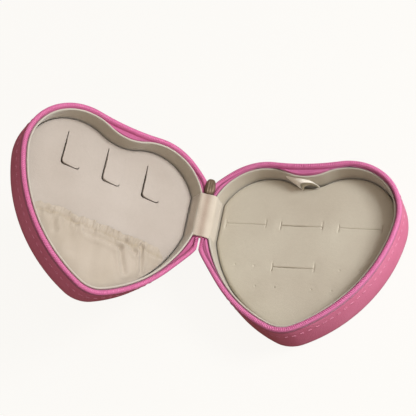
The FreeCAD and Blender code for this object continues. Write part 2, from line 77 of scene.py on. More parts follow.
def area_light(name, place, size, power, colour=(1, 1, 1)):
    """A square soft box that faces the middle of the case."""
    data = bpy.data.lights.new(name, "AREA")
    data.size, data.energy, data.color = size, power, colour
    light = bpy.data.objects.new(name, data)
    light.location = place
    light.rotation_euler = (Vector((-0.02, 0, 0.03)) - light.location).to_track_quat("-Z", "Y").to_euler()
    scene.collection.objects.link(light)


area_light("key", (0.72, 0.16, 0.58), 0.30, 7.3, (0.97, 0.985, 1))
area_light("fill", (0.30, -0.55, 0.75), 0.9, 2.0, (1, 0.93, 0.84))

world = bpy.data.worlds.new("sky")
world.use_nodes = True
scene.world = world
sky_nodes, sky_links = world.node_tree.nodes, world.node_tree.links
sky_split = sky_nodes.new("ShaderNodeVectorMath")
sky_split.operation = "DOT_PRODUCT"
sky_split.inputs[1].default_value = (0.8, 0.3, 0.52)
sky_ramp = sky_nodes.new("ShaderNodeValToRGB")
sky_ramp.color_ramp.elements[0].position, sky_ramp.color_ramp.elements[0].color = 0.1, (0.17, 0.085, 0.05, 1)
sky_ramp.color_ramp.elements[1].position, sky_ramp.color_ramp.elements[1].color = 0.75, (0.92, 0.86, 0.78, 1)
sky_links.new(sky_nodes.new("ShaderNodeTexCoord").outputs["Generated"], sky_split.inputs[0])
sky_links.new(sky_split.outputs["Value"], sky_ramp.inputs[0])
sky_links.new(sky_ramp.outputs[0], sky_nodes["Background"].inputs["Color"])
sky_nodes["Background"].inputs["Strength"].default_value = 0.74

floor_mesh = bpy.data.meshes.new("floor")
reach = 3.0
floor_mesh.from_pydata(
    [(-reach, -reach, 0), (reach, -reach, 0), (reach, reach, 0), (-reach, reach, 0)], [], [(0, 1, 2, 3)]
)
floor = bpy.data.objects.new("floor", floor_mesh)
floor.location.z = -0.0002
floor.visible_diffuse = floor.visible_glossy = False
scene.collection.objects.link(floor)
paper = bpy.data.materials.new("pale_paper")
paper.use_nodes = True
paper_surface = paper.node_tree.nodes["Principled BSDF"]
paper_surface.inputs["Base Color"].default_value = (0.05, 0.049, 0.047, 1)
paper_surface.inputs["Roughness"].default_value = 1
paper_surface.inputs["Specular IOR Level"].default_value = 0
paper_surface.inputs["Emission Color"].default_value = (1, 0.985, 0.955, 1)
paper_surface.inputs["Emission Strength"].default_value = 0.93
floor_mesh.materials.append(paper)

backdrop_mesh = bpy.data.meshes.new("backdrop")
room = bmesh.new()
bmesh.ops.create_uvsphere(room, u_segments=96, v_segments=48, radius=0.98 * reach)
bmesh.ops.reverse_faces(room, faces=room.faces)
room.to_mesh(backdrop_mesh)
room.free()
backdrop_mesh.shade_smooth()
backdrop_mesh.materials.append(paper)
backdrop = bpy.data.objects.new("backdrop", backdrop_mesh)
backdrop.visible_diffuse = backdrop.visible_glossy = backdrop.visible_shadow = False
backdrop.visible_transmission = False
scene.collection.objects.link(backdrop)

# ---------------------------------------------------------------- base cover
# Pink grained leatherette glued over the board base: one skin goes up the wall to a raw edge under the
# zipper, round a soft bottom edge and flat under the case.
half_width, half_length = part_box("base_bottom_cover")[1][:2]
lobe_radius, side_radius, tip_radius = 0.035, 0.088, 0.021
flat_depth = half_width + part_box("base_wall_cover")[0][0]
cover_cleft, liner_cleft, tray_cleft = 0.150, 0.024, 0.018
hinge = next(joint for joint in frame["record"]["behaviour"]["joints"] if joint["name"] == "lid_hinge")
fold_line = Vector(hinge["pos_m"])
rim = fold_line.z
mm = 0.001
arc_counts = {"tip": 9, "side": 52, "lobe": 84, "cleft": 20, "flat": 22, "left_lobe": 62}


def heart(inset, cleft_radius=cover_cleft):
    """The heart outline moved inwards by inset, as points counter-clockwise from the tip. It is made of
    arcs for the tip, sides, lobes and cleft, and a short flat where the hinge is."""
    lobe = np.array([half_width - lobe_radius, half_length - lobe_radius])
    tip = np.array([0, tip_radius - half_length])
    between = tip - lobe
    length = math.hypot(*between)
    lobe_reach, tip_reach = side_radius - lobe_radius, side_radius - tip_radius
    along = (lobe_reach**2 - tip_reach**2 + length**2) / (2 * length)
    direction = between / length
    aside = np.array([direction[1], -direction[0]])
    side = lobe + direction * along + aside * math.sqrt(lobe_reach**2 - along**2)
    cleft = np.array([0, lobe[1] + math.sqrt((cleft_radius + lobe_radius) ** 2 - lobe[0] ** 2)])

    def bearing(centre, point):
        return math.atan2(point[1] - centre[1], point[0] - centre[0])

    def arc(centre, radius, start, end, count):
        turn = start + (end - start) * np.arange(count) / count
        return centre + radius * np.c_[np.cos(turn), np.sin(turn)]

    mirror = np.array([-1, 1])
    to_cleft, to_side, to_tip = bearing(lobe, cleft), bearing(side, lobe), bearing(side, tip)
    flat_x = half_width - flat_depth - inset
    r_lobe, r_side, r_tip = lobe_radius - inset, side_radius - inset, tip_radius - inset
    rise = math.sqrt(r_lobe**2 - (flat_x - lobe[0]) ** 2)
    join = side + (lobe - side) / lobe_reach * r_side
    on_lobe = lobe[1] - rise > join[1]
    low = lobe[1] - rise if on_lobe else side[1] - math.sqrt(r_side**2 - (flat_x - side[0]) ** 2)
    high_end, low_end = np.array([-flat_x, lobe[1] + rise]), np.array([-flat_x, low])
    fine = 400
    if on_lobe:
        down = np.r_[
            arc(lobe * mirror, r_lobe, bearing(lobe * mirror, low_end) % (2 * math.pi), math.pi - to_side, fine),
            arc(side * mirror, r_side, math.pi - to_side, math.pi - to_tip, fine),
        ]
    else:
        start = bearing(side * mirror, low_end) % (2 * math.pi)
        down = arc(side * mirror, r_side, start, math.pi - to_tip, fine)
    down = np.r_[down, arc(tip, r_tip, math.pi - to_tip, 1.5 * math.pi, 1)]
    steps = np.r_[0, np.cumsum(np.hypot(*np.diff(down, axis=0).T))]
    wanted = np.linspace(0, steps[-1], arc_counts["side"] + 1)[:-1]
    left_side = np.c_[np.interp(wanted, steps, down[:, 0]), np.interp(wanted, steps, down[:, 1])]
    share = np.arange(arc_counts["flat"])[:, None] / arc_counts["flat"]
    high_turn = bearing(lobe * mirror, high_end) % (2 * math.pi)
    return np.r_[
        arc(tip, r_tip, -math.pi / 2, to_tip, arc_counts["tip"]),
        arc(side, r_side, to_tip, to_side, arc_counts["side"]),
        arc(lobe, r_lobe, to_side, to_cleft, arc_counts["lobe"]),
        arc(cleft, cleft_radius + inset, to_cleft - math.pi, -to_cleft, arc_counts["cleft"]),
        arc(lobe * mirror, r_lobe, math.pi - to_cleft, high_turn, arc_counts["left_lobe"]),
        high_end + (low_end - high_end) * share,
        left_side,
        arc(tip, r_tip, math.pi - to_tip, 1.5 * math.pi, arc_counts["tip"]),
    ]


def row(inset, height, cleft_radius=cover_cleft):
    """One level ring of a swept wall: the outline at an inset, at a height."""
    outline = heart(inset, cleft_radius)
    return np.c_[outline, np.full(len(outline), height)]


def eased(points, share, clear=0.25 * mm):
    """Points of a ring pushed outwards beside the hinge, where the soft wall is loose. They stay clear of
    the fold line, and share says how much of the push a level takes."""
    moved = np.array(points, float)
    below = 3.6 * mm * np.exp(-(((moved[:, 1] + 2 * mm) / (13 * mm)) ** 2)) * (moved[:, 1] < 16 * mm)
    above = 2.4 * mm * np.exp(-(((moved[:, 1] - 37 * mm) / (7 * mm)) ** 2)) * (moved[:, 1] >= 16 * mm)
    room = np.clip(moved[:, 0] - (fold_line.x + clear), 0, None)
    moved[:, 0] -= np.where(moved[:, 0] < -20 * mm, np.minimum(below + above, room) * share, 0)
    return moved


def mesh_object(name, points, faces, material, along=None, across=None, painted_light=None):
    """A smooth mesh object. along and across, in metres, become its UV map, and the last argument is a 0 to 1
    attribute that the finishes read as painted light: painted shade on most parts, a painted highlight on the
    liners' top edge."""
    mesh = bpy.data.meshes.new(name)
    mesh.from_pydata([tuple(p) for p in points], [], faces)
    mesh.shade_smooth()
    if along is not None:
        spread = mesh.uv_layers.new(name="surface")
        corners = np.empty(len(mesh.loops), int)
        mesh.loops.foreach_get("vertex_index", corners)
        spread.data.foreach_set("uv", np.c_[np.asarray(along)[corners], np.asarray(across)[corners]].ravel())
    attribute = mesh.attributes.new("painted_light", "FLOAT", "POINT")
    if painted_light is not None:
        attribute.data.foreach_set("value", np.asarray(painted_light, np.float32))
    mesh.materials.append(material)
    piece = bpy.data.objects.new(name, mesh)
    scene.collection.objects.link(piece)
    return piece


def swept(name, rows, material, around=None, loop=False, painted_light=None):
    """A wall from level rings, ordered down the outside or up the inside so that it faces outwards.
    around picks a run of the ring where it doesn't go all the way, and loop joins last row to first."""
    whole = around is None
    if not whole:
        rows = [ring[around] for ring in rows]
    count, levels = len(rows[0]), len(rows)
    points = np.concatenate(rows)
    faces = []
    for level in range(levels if loop else levels - 1):
        here, there = level * count, (level + 1) % levels * count
        for i in range(count if whole else count - 1):
            j = (i + 1) % count
            faces.append((here + i, there + i, there + j, here + j))
    middle = rows[0][:, :2]
    run = np.r_[0, np.cumsum(np.hypot(*np.diff(middle, axis=0).T))]
    drop = np.r_[0, np.cumsum([np.linalg.norm(b - a, axis=1).mean() for a, b in zip(rows, rows[1:])])]
    # painted light: these levels become the 0 to 1 attribute of painted shade and painted highlight
    shade = None
    if painted_light is not None:
        shade = np.concatenate([np.full(count, level) if np.isscalar(level) else level for level in painted_light])
    return mesh_object(name, points, faces, material, np.tile(run, levels), np.repeat(drop, count), shade)


def filled(outline, spacing, extra=None, windows=()):
    """Triangles over a flat outline: its own points, a staggered grid, and extra points. windows are
    closed outlines left open. Gives the points, the outline's own first, and the faces, facing up."""
    low, high = outline.min(0), outline.max(0)
    xs = np.arange(low[0], high[0], spacing)
    ys = np.arange(low[1], high[1], spacing * 0.866)
    grid = np.array([(x + spacing / 2 * (k % 2), y) for k, y in enumerate(ys) for x in xs])
    keep = inside(grid, outline) & (distance(grid, outline) > spacing * 0.55)
    if extra is not None:
        gaps = np.sqrt(((grid[:, None] - extra[None]) ** 2).sum(2)).min(1)
        keep &= gaps > spacing * 0.5
    for window in windows:
        keep &= (distance(grid, window) > spacing * 0.45) & ~inside(grid, window)
    parts_in = [outline, *windows, grid[keep]] + ([extra] if extra is not None else [])
    edges, start = [], 0
    for ring in (outline, *windows):
        edges += [(start + i, start + (i + 1) % len(ring)) for i in range(len(ring))]
        start += len(ring)
    points = np.concatenate(parts_in)
    vertices, _, triangles, *_ = delaunay_2d_cdt(
        [Vector(p) for p in points * 1000], edges, [], 1, 1e-5
    )
    flat = np.array([v[:] for v in vertices]) / 1000
    triangles = np.array(triangles)
    middles = flat[triangles].mean(1)
    good = inside(middles, outline)
    for window in windows:
        good &= ~inside(middles, window)
    return flat, [tuple(int(i) for i in t) for t in triangles[good]]


def inside(points, outline):
    """Whether each point lies inside a closed outline."""
    hit = np.zeros(len(points), bool)
    for a, b in zip(outline, np.roll(outline, -1, axis=0)):
        crosses = (a[1] > points[:, 1]) != (b[1] > points[:, 1])
        if crosses.any():
            x = a[0] + (points[:, 1] - a[1]) / (b[1] - a[1] if b[1] != a[1] else 1) * (b[0] - a[0])
            hit ^= crosses & (points[:, 0] < x)
    return hit


def distance(points, outline):
    """How far each point is from the nearest point of an outline."""
    nearest = np.full(len(points), 1e9)
    for a in outline:
        nearest = np.minimum(nearest, np.hypot(points[:, 0] - a[0], points[:, 1] - a[1]))
    return nearest


def joined(name, pieces, material):
    """Several meshes made one, with the vertices that lie together merged."""
    whole = bmesh.new()
    for piece in pieces:
        whole.from_mesh(piece.data)
        bpy.data.objects.remove(piece)
    bmesh.ops.remove_doubles(whole, verts=whole.verts, dist=2e-6)
    mesh = bpy.data.meshes.new(name)
    whole.to_mesh(mesh)
    whole.free()
    mesh.shade_smooth()
    mesh.set_sharp_from_angle(angle=math.radians(50))
    mesh.materials.append(material)
    result = bpy.data.objects.new(name, mesh)
    scene.collection.objects.link(result)
    return result


def tone(red, green, blue):
    """A colour given as 0 to 255 display values, made linear."""
    return tuple(((c / 255 + 0.055) / 1.055) ** 2.4 for c in (red, green, blue)) + (1,)


def finish(name, pale, deep, rough, patch, grain, depth, painted_light=None, uv_grain=None, **sockets):
    """A procedural finish. Soft patches mix the pale and the deep colour. grain lists (texture, scale, share)
    layers that together give the bump, depth metres high, and vary the roughness. A further colour, where given,
    is painted light, mixed in by the mesh's 0 to 1 attribute."""
    material = bpy.data.materials.new(name)
    material.use_nodes = True
    nodes, links = material.node_tree.nodes, material.node_tree.links
    surface = nodes["Principled BSDF"]
    coordinates = nodes.new("ShaderNodeTexCoord")
    place = coordinates.outputs["Object"]
    patches = nodes.new("ShaderNodeTexNoise")
    patches.inputs["Scale"].default_value = patch
    patches.inputs["Detail"].default_value = 4
    links.new(place, patches.inputs["Vector"])
    spread = nodes.new("ShaderNodeMapRange")
    spread.inputs["From Min"].default_value, spread.inputs["From Max"].default_value = 0.3, 0.7
    links.new(patches.outputs[0], spread.inputs["Value"])
    mix = nodes.new("ShaderNodeMix")
    mix.data_type = "RGBA"
    mix.inputs[6].default_value, mix.inputs[7].default_value = tone(*pale), tone(*deep)
    links.new(spread.outputs[0], mix.inputs[0])
    colour = mix.outputs[2]
    height = None
    for kind, scale, share in grain:
        if kind == "cells":
            texture = nodes.new("ShaderNodeTexVoronoi")
            texture.feature = "SMOOTH_F1"
            texture.inputs["Smoothness"].default_value = 0.35
        elif kind in ("rib", "twill"):
            texture = nodes.new("ShaderNodeTexWave")
            texture.bands_direction = "X" if kind == "rib" else "DIAGONAL"
            texture.inputs["Distortion"].default_value = 0.6
            texture.inputs["Detail Scale"].default_value = 2
        else:
            texture = nodes.new("ShaderNodeTexNoise")
            texture.inputs["Detail"].default_value = 3
        texture.inputs["Scale"].default_value = scale
        follows_uv = uv_grain and kind in uv_grain
        links.new(coordinates.outputs["UV"] if follows_uv else place, texture.inputs["Vector"])
        layer = nodes.new("ShaderNodeMath")
        layer.operation = "MULTIPLY_ADD"
        layer.inputs[1].default_value, layer.inputs[2].default_value = share, 0
        fac = texture.outputs["Distance"] if kind == "cells" else texture.outputs["Fac"]
        links.new(fac, layer.inputs[0])
        if height is not None:
            links.new(height, layer.inputs[2])
        height = layer.outputs[0]
    bump = nodes.new("ShaderNodeBump")
    bump.inputs["Strength"].default_value = 1
    bump.inputs["Distance"].default_value = depth
    links.new(height, bump.inputs["Height"])
    links.new(bump.outputs[0], surface.inputs["Normal"])
    gloss = nodes.new("ShaderNodeMapRange")
    gloss.inputs["To Min"].default_value, gloss.inputs["To Max"].default_value = rough + 0.08, rough - 0.08
    links.new(height, gloss.inputs["Value"])
    links.new(gloss.outputs[0], surface.inputs["Roughness"])
    shade = nodes.new("ShaderNodeMapRange")
    shade.inputs["To Min"].default_value, shade.inputs["To Max"].default_value = 0.9, 1.06
    links.new(height, shade.inputs["Value"])
    tint = nodes.new("ShaderNodeMix")
    tint.data_type, tint.blend_type = "RGBA", "MULTIPLY"
    tint.inputs[0].default_value = 1
    links.new(colour, tint.inputs[6])
    links.new(shade.outputs[0], tint.inputs[7])
    colour = tint.outputs[2]
    # painted light: the attribute mixes in the given colour, painted shade on most parts and a painted highlight
    # on the liners' top edge
    if painted_light:
        painted_light_attribute = nodes.new("ShaderNodeAttribute")
        painted_light_attribute.attribute_name = "painted_light"
        painted_light_mix = nodes.new("ShaderNodeMix")
        painted_light_mix.data_type = "RGBA"
        painted_light_mix.inputs[7].default_value = tone(*painted_light)
        links.new(painted_light_attribute.outputs["Fac"], painted_light_mix.inputs[0])
        links.new(colour, painted_light_mix.inputs[6])
        colour = painted_light_mix.outputs[2]
    links.new(colour, surface.inputs["Base Color"])
    for socket, value in sockets.items():
        surface.inputs[socket.replace("_", " ")].default_value = value
    return material


# The deep maroon is painted shade: the attribute lays it as a dark line along the seam under the zipper, with a
# little darkening round the bottom edge.
leather = finish(
    "pink_leatherette", (238, 142, 178), (228, 127, 164), 0.46, 55,
    [("cells", 1500, 0.7), ("noise", 4200, 0.3)], 0.00012, painted_light=(120, 28, 52),
    Specular_IOR_Level=0.45, Coat_Weight=0.08, Coat_Roughness=0.35,
)


def shell(name, profile, cap_inset_height, material, painted_light, crown=0.0, reach_in=0.03):
    """A leather half shell: a swept wall and a filled heart across its end, domed by crown."""
    rows = [
        eased(row(inset, height), 0.8 * max(0.0, 1 - (abs(height - rim) - 5 * mm) / (12 * mm)))
        for inset, height in profile
    ]
    wall = swept(name + "_wall", rows, material, painted_light=painted_light)
    inset, height = cap_inset_height
    flat, faces = filled(heart(inset), 0.0022)
    rise = crown * (1 - np.exp(-distance(flat, heart(inset)) / reach_in * 3))
    end = mesh_object(name + "_end", np.c_[flat, height + rise], faces, material)
    return wall, end


def turned_over(piece):
    """Turns the faces of a piece the other way round."""
    piece.data.flip_normals()
    return piece


wall_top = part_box("base_wall_cover")[1][2]
skin_edge = wall_top + 0.6 * mm
base_profile = [
    (1.0 * mm, skin_edge - 1.2 * mm), (0.75 * mm, skin_edge - 0.1 * mm), (0.35 * mm, skin_edge + 0.1 * mm),
    (0.05 * mm, skin_edge - 0.35 * mm), (-0.1 * mm, skin_edge - 1.5 * mm), (-0.15 * mm, skin_edge - 4 * mm),
    (-0.15 * mm, 13 * mm), (-0.1 * mm, 9 * mm), (0, 5.5 * mm), (0.1 * mm, 3.4 * mm), (0.35 * mm, 2.1 * mm),
    (0.85 * mm, 1.1 * mm), (1.6 * mm, 0.45 * mm), (2.6 * mm, 0.1 * mm), (3.8 * mm, 0.0),
]
# the attribute values: painted shade along the top rows under the zipper, and a little darkening round the
# bottom edge
base_painted_shade = [0.9, 0.75, 0.55, 0.25, 0.05, 0, 0, 0, 0, 0.02, 0.06, 0.08, 0.05, 0, 0]
base_wall, base_end = shell("base_cover", base_profile, (3.8 * mm, 0.0), leather, base_painted_shade)
base_cover = joined("base_cover", [base_wall, turned_over(base_end)], leather)
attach(base_cover, "base")
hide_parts("base_wall_cover", "base_bottom_cover")

# ---------------------------------------------------------------- lid cover
# The lid has the same leatherette skin, drawn over a sheet of foam, so its outside face is softly domed
# and rolls into the wall. It is drawn closed above the rim and then swung open.
opening = -math.radians(hinge["range_deg"][0])
swing = Matrix.Translation(fold_line) @ Matrix.Rotation(-opening, 4, "Y") @ Matrix.Translation(-fold_line)


def opened(piece):
    """Swings a piece that was drawn on the closed lid to where the open lid is."""
    piece.data.transform(swing)
    return piece


lid_depth = 22 * mm
lid_top = rim + lid_depth
lid_wall_low = rim + (rim - wall_top)
lid_skin_edge = lid_wall_low - 1.1 * mm
lid_profile = [
    (3.8 * mm, lid_top), (2.6 * mm, lid_top - 0.15 * mm), (1.5 * mm, lid_top - 0.65 * mm),
    (0.75 * mm, lid_top - 1.4 * mm), (0.3 * mm, lid_top - 2.6 * mm), (0.1 * mm, lid_top - 4 * mm),
    (-0.05 * mm, lid_top - 7 * mm), (-0.15 * mm, lid_top - 11 * mm), (-0.1 * mm, lid_skin_edge + 1.5 * mm),
    (0.05 * mm, lid_skin_edge + 0.35 * mm), (0.35 * mm, lid_skin_edge - 0.1 * mm),
    (0.75 * mm, lid_skin_edge + 0.1 * mm), (1.0 * mm, lid_skin_edge + 1.2 * mm),
]
# the attribute values: a little darkening round the domed top, and painted shade along the bottom rows at the
# zipper
lid_painted_shade = [0, 0.03, 0.06, 0.06, 0.03, 0, 0, 0, 0.05, 0.25, 0.55, 0.75, 0.9]
lid_wall, lid_end = shell("lid_cover", lid_profile, (3.8 * mm, lid_top), leather, lid_painted_shade, crown=1.3 * mm)
lid_cover = opened(joined("lid_cover", [lid_wall, lid_end], leather))
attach(lid_cover, "lid")
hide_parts("lid_wall_cover", "lid_top_cover")

# ---------------------------------------------------------------- boards and foam inside the shells
# Grey pressed board stiffens the walls and ends of both halves, and a sheet of foam pads the lid. All of
# it is glued in and hidden, except where an edge is caught between cover and liner.
board = finish(
    "grey_board", (158, 150, 138), (134, 126, 114), 0.9, 90,
    [("noise", 900, 0.6), ("noise", 3500, 0.4)], 0.0001,
)
foam = finish(
    "open_cell_foam", (228, 222, 206), (212, 204, 186), 0.95, 120,
    [("cells", 1600, 0.8), ("noise", 5000, 0.2)], 0.0003,
)


def coat(material, *nodes):
    """Gives CAD nodes a finish."""
    for node in nodes:
        for held in frame["nodes"][node].material_slots:
            held.material = material


coat(board, "base_bottom_board", "lid_top_board", "base_wall_board", "lid_wall_board", "tray_ledge")
coat(board, "ring_tray_board", "panel_spacer")
coat(foam, "lid_top_foam")

# ---------------------------------------------------------------- topstitching
# One row of pale pink lockstitches goes round each half four millimetres from the leather's raw edge.
# Each stitch is a short round thread that dips into the leather at both ends.
thread = finish(
    "pink_thread", (240, 168, 196), (228, 146, 178), 0.5, 300, [("twill", 2600, 1.0)], 0.00008,
)
stitch_pitch, stitch_length, stitch_width = 4.6 * mm, 2.9 * mm, 0.5 * mm


def node(tree, kind, x, **settings):
    made = tree.nodes.new(kind)
    made.location.x = x
    for key, value in settings.items():
        setattr(made, key, value)
    return made


def along_path_tree(name, shape):
    """Geometry Nodes that set one small rounded shape along a path at an even pitch. shape is a UV sphere
    stretched to length, width and height, and leaned about the path's normal by lean."""
    tree = bpy.data.node_groups.new(name, "GeometryNodeTree")
    sockets = {"Geometry": "NodeSocketGeometry"}
    sockets.update({key: "NodeSocketFloat" for key in ("pitch", "length", "width", "height", "lean")})
    for label, kind in sockets.items():
        tree.interface.new_socket(label, in_out="INPUT", socket_type=kind)
    tree.interface.new_socket("finish", in_out="INPUT", socket_type="NodeSocketMaterial")
    tree.interface.new_socket("Geometry", in_out="OUTPUT", socket_type="NodeSocketGeometry")
    link = tree.links.new
    given = node(tree, "NodeGroupInput", -900)
    curve = node(tree, "GeometryNodeMeshToCurve", -700)
    spaced = node(tree, "GeometryNodeResampleCurve", -500, mode="LENGTH")
    ball = node(tree, "GeometryNodeMeshUVSphere", -700)
    ball.inputs["Segments"].default_value, ball.inputs["Rings"].default_value = shape
    ball.inputs["Radius"].default_value = 0.5
    stretch = node(tree, "ShaderNodeCombineXYZ", -700)
    leaning = node(tree, "ShaderNodeCombineXYZ", -700)
    shaped = node(tree, "GeometryNodeTransform", -500)
    turned = node(tree, "GeometryNodeTransform", -400)
    tangent = node(tree, "GeometryNodeInputTangent", -500)
    aligned = node(tree, "FunctionNodeAlignEulerToVector", -300, axis="X", pivot_axis="Z")
    placed = node(tree, "GeometryNodeInstanceOnPoints", -100)
    real = node(tree, "GeometryNodeRealizeInstances", 100)
    smooth = node(tree, "GeometryNodeSetShadeSmooth", 200)
    coated = node(tree, "GeometryNodeSetMaterial", 300)
    out = node(tree, "NodeGroupOutput", 500)
    link(given.outputs["Geometry"], curve.inputs[0])
    link(curve.outputs[0], spaced.inputs["Curve"])
    link(given.outputs["pitch"], spaced.inputs["Length"])
    link(given.outputs["length"], stretch.inputs["X"])
    link(given.outputs["width"], stretch.inputs["Y"])
    link(given.outputs["height"], stretch.inputs["Z"])
    link(given.outputs["lean"], leaning.inputs["Z"])
    link(ball.outputs["Mesh"], shaped.inputs["Geometry"])
    link(stretch.outputs[0], shaped.inputs["Scale"])
    link(shaped.outputs[0], turned.inputs["Geometry"])
    link(leaning.outputs[0], turned.inputs["Rotation"])
    link(tangent.outputs[0], aligned.inputs["Vector"])
    link(spaced.outputs[0], placed.inputs["Points"])
    link(turned.outputs[0], placed.inputs["Instance"])
    link(aligned.outputs[0], placed.inputs["Rotation"])
    link(placed.outputs[0], real.inputs[0])
    link(real.outputs[0], smooth.inputs[0])
    link(smooth.outputs[0], coated.inputs["Geometry"])
    link(given.outputs["finish"], coated.inputs["Material"])
    link(coated.outputs[0], out.inputs[0])
    return tree


def set_along(name, tree, path, closed, material, **sizes):
    """Runs an along-path tree on a row of points and keeps the result as one plain mesh."""
    line = bpy.data.meshes.new(name + "_path")
    edges = [(i, i + 1) for i in range(len(path) - 1)] + ([(len(path) - 1, 0)] if closed else [])
    line.from_pydata([tuple(p) for p in path], edges, [])
    carrier = bpy.data.objects.new(name + "_path", line)
    scene.collection.objects.link(carrier)
    modifier = carrier.modifiers.new("set", "NODES")
    modifier.node_group = tree
    for socket in tree.interface.items_tree:
        if socket.in_out == "INPUT" and socket.name in sizes:
            modifier[socket.identifier] = sizes[socket.name]
        if socket.in_out == "INPUT" and socket.name == "finish":
            modifier[socket.identifier] = material
    carrier.data.update()
    bpy.context.view_layer.update()
    mesh = bpy.data.meshes.new_from_object(carrier.evaluated_get(bpy.context.evaluated_depsgraph_get()))
    bpy.data.objects.remove(carrier)
    mesh.name = name
    if not mesh.materials:
        mesh.materials.append(material)
    piece = bpy.data.objects.new(name, mesh)
    scene.collection.objects.link(piece)
    return piece


stitch_tree = along_path_tree("topstitch", (8, 6))
stitch_drop = 4.0 * mm
first_clear = arc_counts["tip"] + arc_counts["side"] + arc_counts["lobe"] + arc_counts["cleft"]
flat_first = first_clear + arc_counts["left_lobe"]
flat_last = flat_first + arc_counts["flat"]
ring_count = len(heart(0))
clear_of_hinge = np.r_[flat_last + 1:ring_count, 0:flat_first - 1]
for half, height in (("base", wall_top - stitch_drop), ("lid", lid_wall_low + stitch_drop)):
    path = eased(row(-0.24 * mm, height), 0.75)[clear_of_hinge]
    stitches = set_along(
        half + "_topstitch", stitch_tree, path, False, thread,
        pitch=stitch_pitch, length=stitch_length, width=0.42 * mm, height=stitch_width, lean=0.0,
    )
    if half == "lid":
        opened(stitches)
    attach(stitches, half)

# ---------------------------------------------------------------- zipper tapes
# Each half carries one side of a nylon zipper on woven pink tape. The tape stands on the wall, turns in
# over the rim and is drawn down in loose folds behind the liner, widest at the cleft.
# Both halves carry the same pink tape; the lid's pair of colours is a darker copy, painted shade, and the deep
# maroon is painted shade in the folds and seams.
tape_colours_lid_shaded = {"base": ((222, 126, 176), (212, 114, 166)), "lid": ((208, 110, 158), (198, 98, 147))}
tape_cloth = {
    half: finish(
        half + "_zipper_tape", *shades, 0.8, 70,
        [("twill", 620, 0.7), ("noise", 2500, 0.3)], 0.00014, painted_light=(110, 26, 62), uv_grain=("twill",),
        Sheen_Weight=0.25, Sheen_Roughness=0.4,
    )
    for half, shades in tape_colours_lid_shaded.items()
}


inner_from, inner_to = heart(2.8 * mm), heart(3.08 * mm, liner_cleft)
tape_slack = np.clip((np.hypot(*(inner_to - inner_from).T) - 0.3 * mm) / (5 * mm), 0, 1)


def tape_rows(side_of_rim):
    """The tape's rings from behind the liner, up over the rim and down outside. side_of_rim is -1 for the
    base and 1 for the lid, whose heights are the mirror image about the rim."""
    folds = [
        (1.0, 6.0, 0.0), (0.92, 4.2, 0.0), (0.8, 2.7, 1.0), (0.66, 2.0, 0.6), (0.5, 2.6, -0.7), (0.34, 2.2, 0.7),
        (0.2, 2.5, -0.2), (0.06, 2.5, -1.0),
    ]
    rows = []
    for share, deep, swell in folds:
        flat = inner_from + (inner_to - inner_from) * share
        wander = np.array([noise.noise(Vector((p[0], p[1], share * 0.02)) * 90) for p in flat])
        level = deep * mm - tape_slack * swell * 0.9 * mm + wander * tape_slack * 1.1 * mm
        rows.append(np.c_[flat, rim + side_of_rim * level])
    crest = (
        (2.85, 2.1), (2.55, 1.4), (2.15, 0.85), (1.3, 0.62), (0.5, 0.66), (-0.1, 0.9), (-0.3, 1.5),
        (-0.25, 2.4), (0.0, 3.6), (0.35, 4.8), (0.8, 5.6),
    )
    for inset, deep in crest:
        rows.append(row(inset * mm, rim + side_of_rim * deep * mm))
    shares = [0.0, 0.1, 0.3, 0.45, 0.6, 0.75, 0.85, 0.95] + [1.0] * 8 + [0.95, 0.9, 0.8]
    return [eased(ring, share) for ring, share in zip(rows, shares)]


under_strip = np.r_[flat_last - 4:ring_count, 0:flat_first + 5]
tightness = 1 - 0.65 * tape_slack[under_strip]
# painted shade: dark behind the liner, in the fold valleys, along the line beside the liner's top and at the
# seam over the leather; tightness weakens it where the tape hangs slack
tape_painted_shade = [0.8, 0.6, 0.15, 0.0, 0.3, 0.05, 0.25, 0.8, 0.85, 0.3, 0, 0, 0, 0, 0, 0.05, 0.25, 0.8, 0.9]
for half, side_of_rim in (("base", -1), ("lid", 1)):
    rows = tape_rows(side_of_rim)
    painted_light = [shade * tightness for shade in tape_painted_shade[:10]] + tape_painted_shade[10:]
    if half == "lid":
        rows, painted_light = rows[::-1], painted_light[::-1]
    tape = swept(half + "_tape", rows, tape_cloth[half], around=under_strip, painted_light=painted_light)
    if half == "lid":
        opened(tape)
    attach(tape, half)
    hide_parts(half + "_zipper_tape")

# ---------------------------------------------------------------- zipper coils
# The teeth are a nylon coil sewn along the rim's crest, one turn every 1.1 mm, leaning a little along
# the tape. Both coils stop at the hinge, where the slider waits.
coil_plastic = finish(
    "coil_plastic", (214, 118, 167), (205, 106, 156), 0.42, 200, [("noise", 3000, 1.0)], 0.00004,
    Specular_IOR_Level=0.5,
)
coil_tree = along_path_tree("zipper_coil", (8, 6))
coil_stop = int(arc_counts["left_lobe"] * 0.8) + first_clear
coil_run = np.r_[flat_last + 2:ring_count, 0:coil_stop]
for half, side_of_rim in (("base", -1), ("lid", 1)):
    path = eased(row(1.2 * mm, rim + side_of_rim * 0.74 * mm), 1.0, clear=1.5 * mm)[coil_run]
    coil = set_along(
        half + "_coil", coil_tree, path, False, coil_plastic,
        pitch=1.1 * mm, length=0.95 * mm, width=2.3 * mm, height=0.75 * mm, lean=0.3,
    )
    if half == "lid":
        opened(coil)
    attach(coil, half)
    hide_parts(half + "_zipper_coil")

# ---------------------------------------------------------------- velvet liners
# Board strips covered in short grey-cream velvet line both walls. They stand behind the tape, their top
# edge is rounded by the pile, and in the cleft they turn a tighter corner than the cover does.
# The paler grey is a painted highlight, laid along the liners' rounded top edge.
velvet = finish(
    "liner_velvet", (190, 182, 166), (178, 169, 152), 0.92, 35,
    [("noise", 2600, 0.6), ("noise", 700, 0.4)], 0.00016, painted_light=(190, 186, 176),
    Sheen_Weight=0.45, Sheen_Roughness=0.45,
)
liner_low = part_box("base_floor_lining")[0][2]
liner_outer, liner_inner = 3.1 * mm, 4.3 * mm


